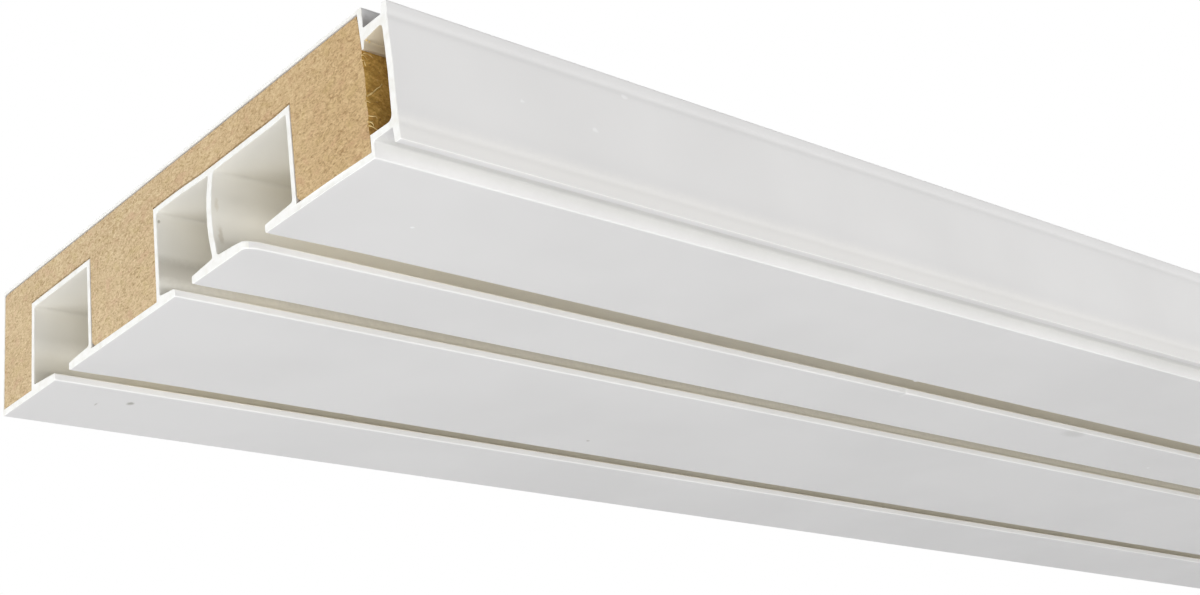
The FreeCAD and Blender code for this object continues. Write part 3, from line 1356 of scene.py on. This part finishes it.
    def place(self, depth: float, height: float, along: float) -> Vector:
        """Place of a grid point in the row frame, roughened where the board is cut.

        Args:
            depth: Depth of the point.
            height: Height of the point.
            along: Distance from the left cut.

        Returns:
            The place in metres.
        """
        s = self.sizes
        u, v = self.eased(depth, height)
        to_cut = min(along, s.run_length - along)
        side = 1 if along < s.run_length / 2 else -1
        spot = Vector((u, v, along)) / self.pluck_mm
        coarse = noise.noise(spot) * 0.5 + 0.5
        fine = noise.noise(spot * 2.7 + Vector((5, 1, 2))) * 0.5 + 0.5
        plucked = self.pluck * ((1 - self.fine_share) * coarse + self.fine_share * fine)
        if to_cut == 0:
            along += side * plucked
        if to_cut < self.worn_zone:
            v += {s.core_top: -self.worn, self.groove_top: self.worn}.get(height, 0.0)
        if depth == s.core_front and to_cut < self.ripped_zone:
            u -= plucked
            if to_cut < self.fray_zone:
                tuft = noise.noise(Vector((v / self.tuft_mm, 3.0, side)))
                u -= self.fray * max(0.0, tuft + 0.25) * (1 - to_cut)
                u -= sum(dip.at(v) for dip in self.frayed) * (1 - to_cut)
        if depth == s.core_front and height > s.hook_end:
            u -= self.squeeze * (height - s.hook_end) / (s.under_skin - s.hook_end)
        if side > 0:
            spot = self.saw.pulled(Vector((u, v)), along)
            u, v, along = spot.x, spot.y, self.saw.set_back(spot, along)
        return s.row(along, u, v)


# ---- Loose fibres and sawdust ----


@dataclass
class LooseFibres:
    """Fibres that the saw pulled out of the board's room side at both cuts."""

    sizes: TrackSizes = TrackSizes()
    finish: WoodFibre = WoodFibre()
    count: int = 20
    steps: int = 5
    thickness: float = 0.115
    widths: tuple[float, float] = (0.25, 0.42)
    taper: float = 0.6
    # Points of single fibres: distance from the left cut, distance off the board, height.
    tufts: tuple[tuple[tuple[float, float, float], ...], ...] = (
        # The long curl that stands off the middle of the edge.
        ((0.3, -0.1, 8.2), (0.75, 0.2, 8.5), (1.2, 0.35, 8.95), (1.5, 0.4, 9.35),
         (1.85, 0.45, 9.5), (2.15, 0.5, 10.0)),
        # Frayed ends under the upper web.
        ((0.15, -0.2, 13.6), (0.1, 0.15, 13.45), (0.3, 0.3, 13.1), (0.6, 0.2, 12.85)),
        ((0.12, -0.2, 12.9), (0.15, 0.2, 12.75), (0.1, 0.25, 12.4), (0.35, 0.1, 12.1)),
        ((0.3, -0.1, 13.8), (0.7, 0.3, 13.7), (1.2, 0.35, 13.3), (1.5, 0.2, 13.4)),
        # A stub below the long curl.
        ((0.1, -0.2, 7.6), (0.15, 0.2, 7.45), (0.4, 0.3, 7.2)),
        # The tuft over the lower web.
        ((0.15, -0.15, 4.9), (0.3, 0.25, 4.8), (0.6, 0.4, 4.35), (0.55, 0.3, 4.0)),
        ((0.1, -0.15, 4.4), (0.25, 0.3, 4.2), (0.6, 0.55, 3.85), (1.0, 0.5, 3.75)),
        ((0.3, -0.1, 5.7), (0.7, 0.25, 5.5), (1.1, 0.3, 5.7), (1.3, 0.15, 5.5)),
    )

    def strand(self, rng: random.Random, at_left: bool) -> list[Vector]:
        """One curled fibre that starts on the board's room side.

        Args:
            rng: Seeded source of the curl.
            at_left: Whether it stands at the left cut.

        Returns:
            Points in the row frame, in metres.
        """
        s = self.sizes
        along = abs(rng.gauss(0, 1.3)) + 0.1
        if rng.random() < 0.3:
            along = rng.uniform(1, 14)
        low, high = s.lower_web_top, s.roof_height
        height = rng.uniform(low + 0.5, high)
        heading = Vector((rng.uniform(-0.3, 0.5), rng.uniform(0.2, 1.0), rng.uniform(-1, 1)))
        length = rng.uniform(0.3, 0.9)
        spot = Vector((along, s.core_front - 0.12, height))
        points = []
        for _ in range(self.steps + 1):
            from_left = spot.x if at_left else s.run_length - spot.x
            points.append(s.row(from_left, spot.y, spot.z))
            bend = Vector((rng.uniform(-1, 1), rng.uniform(-1.1, 0.6), rng.uniform(-1, 1))) * 0.6
            heading = (heading.normalized() + bend).normalized()
            spot = spot + heading * length / self.steps
            spot.x = max(0.08, spot.x)
            spot.y = min(max(spot.y, s.core_front - 0.15), s.panel_inner - 0.3)
            spot.z = min(max(spot.z, low + 0.1), high + 0.4)
        return points

    def build(self) -> bpy.types.Object:
        """All fibres, each with a round section that thins to its tip.

        Returns:
            One curve object.
        """
        rng = random.Random(SEED)
        s = self.sizes
        curve = bpy.data.curves.new("loose_fibres", "CURVE")
        curve.dimensions = "3D"
        curve.bevel_depth = self.thickness * MM
        curve.bevel_resolution = 1
        curve.resolution_u = 3
        strands = [[s.row(a, s.core_front + off, h) for a, off, h in tuft] for tuft in self.tufts]
        strands += [self.strand(rng, i % 3 != 2) for i in range(self.count)]
        bold = [1.0] + [0.75] * (len(self.tufts) - 1)
        for number, points in enumerate(strands):
            width = bold[number] if number < len(bold) else rng.uniform(*self.widths)
            spline = curve.splines.new("NURBS")
            spline.points.add(len(points) - 1)
            for k, point in enumerate(points):
                spline.points[k].co = (*point, 1.0)
                spline.points[k].radius = width * (1.0 - self.taper * (k / (len(points) - 1)))
            spline.order_u = 3
            spline.use_endpoint_u = True
        curve.materials.append(self.finish.material())
        return shown("loose_fibres", curve)


@dataclass(frozen=True)
class Heap:
    """Where grains of sawdust lie: distance from the left cut, depth, height, spread and count."""

    along: float
    depth: float
    height: float
    spread: tuple[float, float, float]
    count: int


@dataclass
class Sawdust:
    """Grains that the saw left on the lips, at the divider's foot and under the upper web."""

    sizes: TrackSizes = TrackSizes()
    finish: WoodFibre = WoodFibre()
    heaps: tuple[Heap, ...] = (
        Heap(0.9, 10.6, 1.66, (0.6, 0.5, 0.05), 9),
        Heap(1.2, 60.6, 1.64, (0.8, 0.7, 0.05), 14),
        Heap(2.0, 63.4, 1.38, (1.4, 1.2, 0.04), 7),
        Heap(1.5, 46.3, 1.60, (1.0, 0.6, 0.05), 6),
        Heap(1.0, 92.6, 3.25, (0.7, 0.5, 0.05), 8),
        Heap(0.5, 92.35, 15.0, (0.25, 0.05, 0.25), 5),
    )
    grain: tuple[float, float] = (0.05, 0.13)

    def build(self) -> bpy.types.Object:
        """All grains, as small uneven lumps.

        Returns:
            One mesh object.
        """
        rng = random.Random(SEED + 1)
        work = bmesh.new()
        for heap in self.heaps:
            for _ in range(heap.count):
                off = [min(1.0, max(-1.0, rng.gauss(0, 0.5))) * k for k in heap.spread]
                along = max(0.2, heap.along + off[0])
                place = self.sizes.row(along, heap.depth + off[1], heap.height + off[2])
                size = Vector([rng.uniform(*self.grain) * MM for _ in range(3)])
                made = bmesh.ops.create_icosphere(work, subdivisions=1, radius=1.0)
                for vert in made["verts"]:
                    vert.co = place + vert.co * size * rng.uniform(0.7, 1.1)
        mesh = bpy.data.meshes.new("sawdust")
        work.to_mesh(mesh)
        work.free()
        mesh.materials.append(self.finish.material())
        return shown("sawdust", mesh)


# ---- Stage and camera ----


@dataclass(frozen=True)
class FloorPaint(Finish):
    """Plain matt paint of the floor, which gives no reflection."""

    name: str = "stage_floor_paint"
    colour: str = "#ECEDEF"
    roughness: float = 0.9

    def surface(self, tree: Tree, place: Socket) -> dict[str, object]:
        """Pale and matt, with a very faint cloud in its roughness.

        Args:
            tree: The material's tree.
            place: Object coordinates, in metres.

        Returns:
            What feeds the shader.
        """
        cloud = add(tree, "TexNoise", {"Vector": place, "Scale": 3.0})
        rough = add(tree, "MapRange", {
            "Value": cloud, "To Min": self.roughness - 0.05, "To Max": self.roughness + 0.05})
        return {"Base Color": self.colour, "Roughness": rough}


@dataclass(frozen=True)
class Lamp:
    """One soft rectangular lamp, in metres and watts."""

    name: str
    place: tuple[float, float, float]
    target: tuple[float, float, float]
    width: float
    height: float
    power: float

    def build(self) -> None:
        """Hangs the lamp and aims it."""
        data = bpy.data.lights.new(self.name, "AREA")
        data.shape = "RECTANGLE"
        data.size, data.size_y = self.width, self.height
        data.energy = self.power
        lamp = shown(self.name, data)
        lamp.location = self.place
        way = Vector(self.target) - Vector(self.place)
        lamp.rotation_mode = "QUATERNION"
        lamp.rotation_quaternion = way.to_track_quat("-Z", "Y")
        lamp.visible_camera = False


@dataclass
class Stage:
    """Pale floor, white surroundings and soft lamps."""

    ambient: float = 0.13
    floor_height: float = -1.4
    floor_side: float = 14.0
    floor_finish: FloorPaint = FloorPaint()
    lamps: tuple[Lamp, ...] = (
        Lamp("end_softbox", (-1.5, 0.5, -0.35), (-0.2, 0.0, -0.01), 0.8, 0.8, 13.3),
        Lamp("under_end_softbox", (-0.6, 0.12, -0.5), (-0.15, 0.0, -0.01), 0.5, 0.5, 0.8),
        Lamp("room_softbox", (0.0, -1.0, -0.62), (0.0, 0.0, -0.01), 0.9, 0.4, 8.2),
        Lamp("room_left_softbox", (-0.8, -0.9, -0.5), (-0.1, 0.0, -0.01), 0.7, 0.6, 5.0),
        Lamp("ceiling_softbox", (0.0, 0.75, 1.35), (0.0, 0.0, 0.0), 1.0, 1.0, 8.5),
        Lamp("wall_fill_softbox", (0.3, 1.2, 0.5), (0.0, 0.0, 0.0), 0.8, 0.6, 4.0),
    )

    def floor(self) -> bpy.types.Object:
        """The pale floor, well below the piece.

        Returns:
            One square.
        """
        mesh = bpy.data.meshes.new("floor")
        half, z = self.floor_side / 2, self.floor_height
        ends = ((-half, -half), (half, -half), (half, half), (-half, half))
        mesh.from_pydata([(x, y, z) for x, y in ends], [], [(0, 1, 2, 3)])
        mesh.materials.append(self.floor_finish.material())
        return shown("floor", mesh)

    def surroundings(self) -> None:
        """White behind the piece and in its reflections, plain grey light for the rest."""
        world = bpy.data.worlds.new("studio")
        world.use_nodes = True
        tree = world.node_tree
        tree.nodes.clear()
        path = add(tree, "LightPath").outputs
        either = add(tree, "Math", {
            0: path["Is Camera Ray"], 1: path["Is Glossy Ray"]}, operation="MAXIMUM")
        seen = add(tree, "Math", {
            0: either, 1: path["Is Transmission Ray"]}, operation="MAXIMUM")
        strength = add(tree, "MapRange", {"Value": seen, "To Min": self.ambient, "To Max": 1.0})
        back = add(tree, "Background", {"Color": "#FFFFFF", "Strength": strength})
        add(tree, "OutputWorld", {"Surface": back})
        bpy.context.scene.world = world

    def build(self) -> bpy.types.Object:
        """The whole stage.

        Returns:
            The floor.
        """
        self.surroundings()
        for lamp in self.lamps:
            lamp.build()
        return self.floor()


@dataclass(frozen=True)
class Viewpoint:
    """The photographer's camera, worked out from the track's long edges and its cut end."""

    place: tuple[float, float, float] = (-0.310178, -0.185992, -0.111502)
    right: tuple[float, float, float] = (0.782271, -0.616118, -0.091926)
    down: tuple[float, float, float] = (0.191655, 0.378451, -0.905562)
    lens: float = 54.2065
    sensor: float = 36.0
    shift: tuple[float, float] = (0.125, -0.047917)

    def build(self) -> None:
        """Sets up the camera and makes it the scene's own."""
        data = bpy.data.cameras.new("viewpoint")
        data.lens, data.sensor_width, data.sensor_fit = self.lens, self.sensor, "HORIZONTAL"
        data.shift_x, data.shift_y = self.shift
        data.clip_start = 0.01
        right, up = Vector(self.right), -Vector(self.down)
        turn = Matrix((right, up, right.cross(up))).transposed()
        camera = shown("viewpoint", data)
        camera.matrix_world = Matrix.Translation(self.place) @ turn.to_4x4()
        bpy.context.scene.camera = camera


def ride(piece: bpy.types.Object, slot: Slot, *stands_for: Part) -> None:
    """Puts a piece on the track's body and reports it.

    Args:
        piece: The finished piece.
        slot: Not used.
        *stands_for: CAD nodes that it stands for.
    """
    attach(piece, "root")
    if stands_for:
        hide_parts(*(part.value for part in stands_for))
    faces = len(piece.data.polygons) if piece.type == "MESH" else len(piece.data.splines)
    LOG.info("%s: %d faces or strands", piece.name, faces)


def main() -> None:
    """Builds the stage, the camera and every piece of the track."""
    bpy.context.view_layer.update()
    bpy.context.scene.view_settings.view_transform = "Standard"
    Viewpoint().build()
    Stage().build()
    ride(Sleeve().build(), Slot.SLEEVE, Part.SLEEVE)
    ride(Board().build(), Slot.CORE, Part.BOARD)
    ride(LooseFibres().build(), Slot.CORE)
    ride(Sawdust().build(), Slot.CORE)
    bpy.context.view_layer.update()
    LOG.info("sizes written")


if __name__ == "__main__":
    main()
